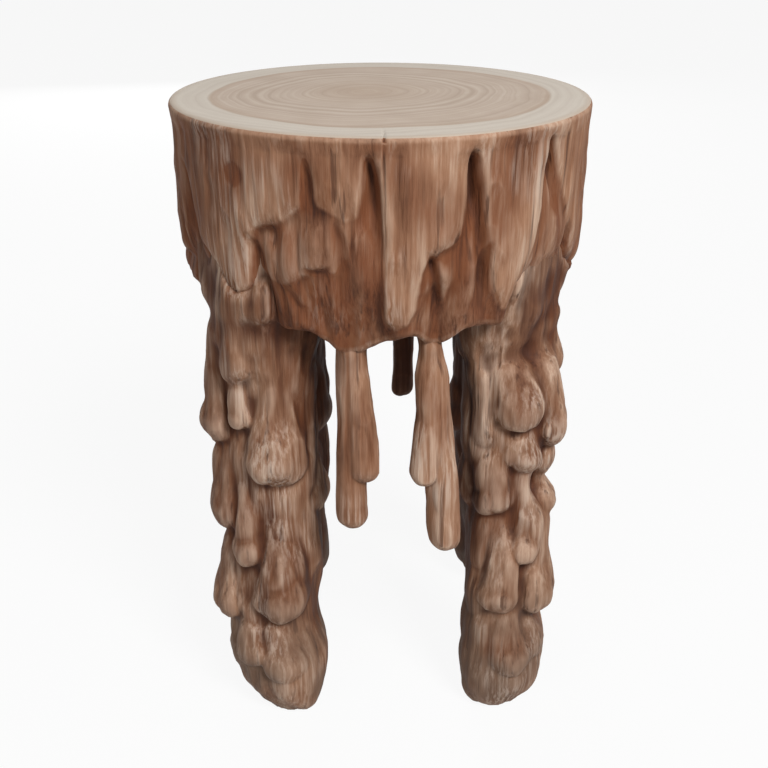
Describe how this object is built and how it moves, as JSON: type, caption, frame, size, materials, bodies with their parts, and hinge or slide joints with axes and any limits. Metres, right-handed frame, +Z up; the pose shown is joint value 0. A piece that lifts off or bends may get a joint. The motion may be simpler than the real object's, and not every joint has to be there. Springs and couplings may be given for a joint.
{
  "type": "stool",
  "caption": "Round solid wood stool with a flat end-grain seat, a carved drum hung with tongues, stout legs carved into running drops and free drops between them.",
  "frame": {"origin": "on the floor under the middle of the seat", "axes": "+Z up; the front, the side with two hanging drops in view, faces -Y; +X to the viewer's right"},
  "size_m": [0.3, 0.3, 0.475],
  "materials": {
    "seat_wood": "hand carved, oiled matt; sanded end grain on top",
    "leg_wood": "hand carved, oiled matt",
    "drop_wood": "hand carved, oiled matt",
    "joint_wood": "plain sawn"
  },
  "bodies": {
    "root": {"seat_block": "seat_wood", "leg_front_left": "leg_wood", "leg_front_right": "leg_wood", "leg_back_left": "leg_wood", "leg_back_right": "leg_wood", "drop_front_left": "drop_wood", "drop_front_right": "drop_wood", "drop_back": "drop_wood", "leg_wedges": "joint_wood", "drop_dowels": "joint_wood"}
  },
  "joints": []
}
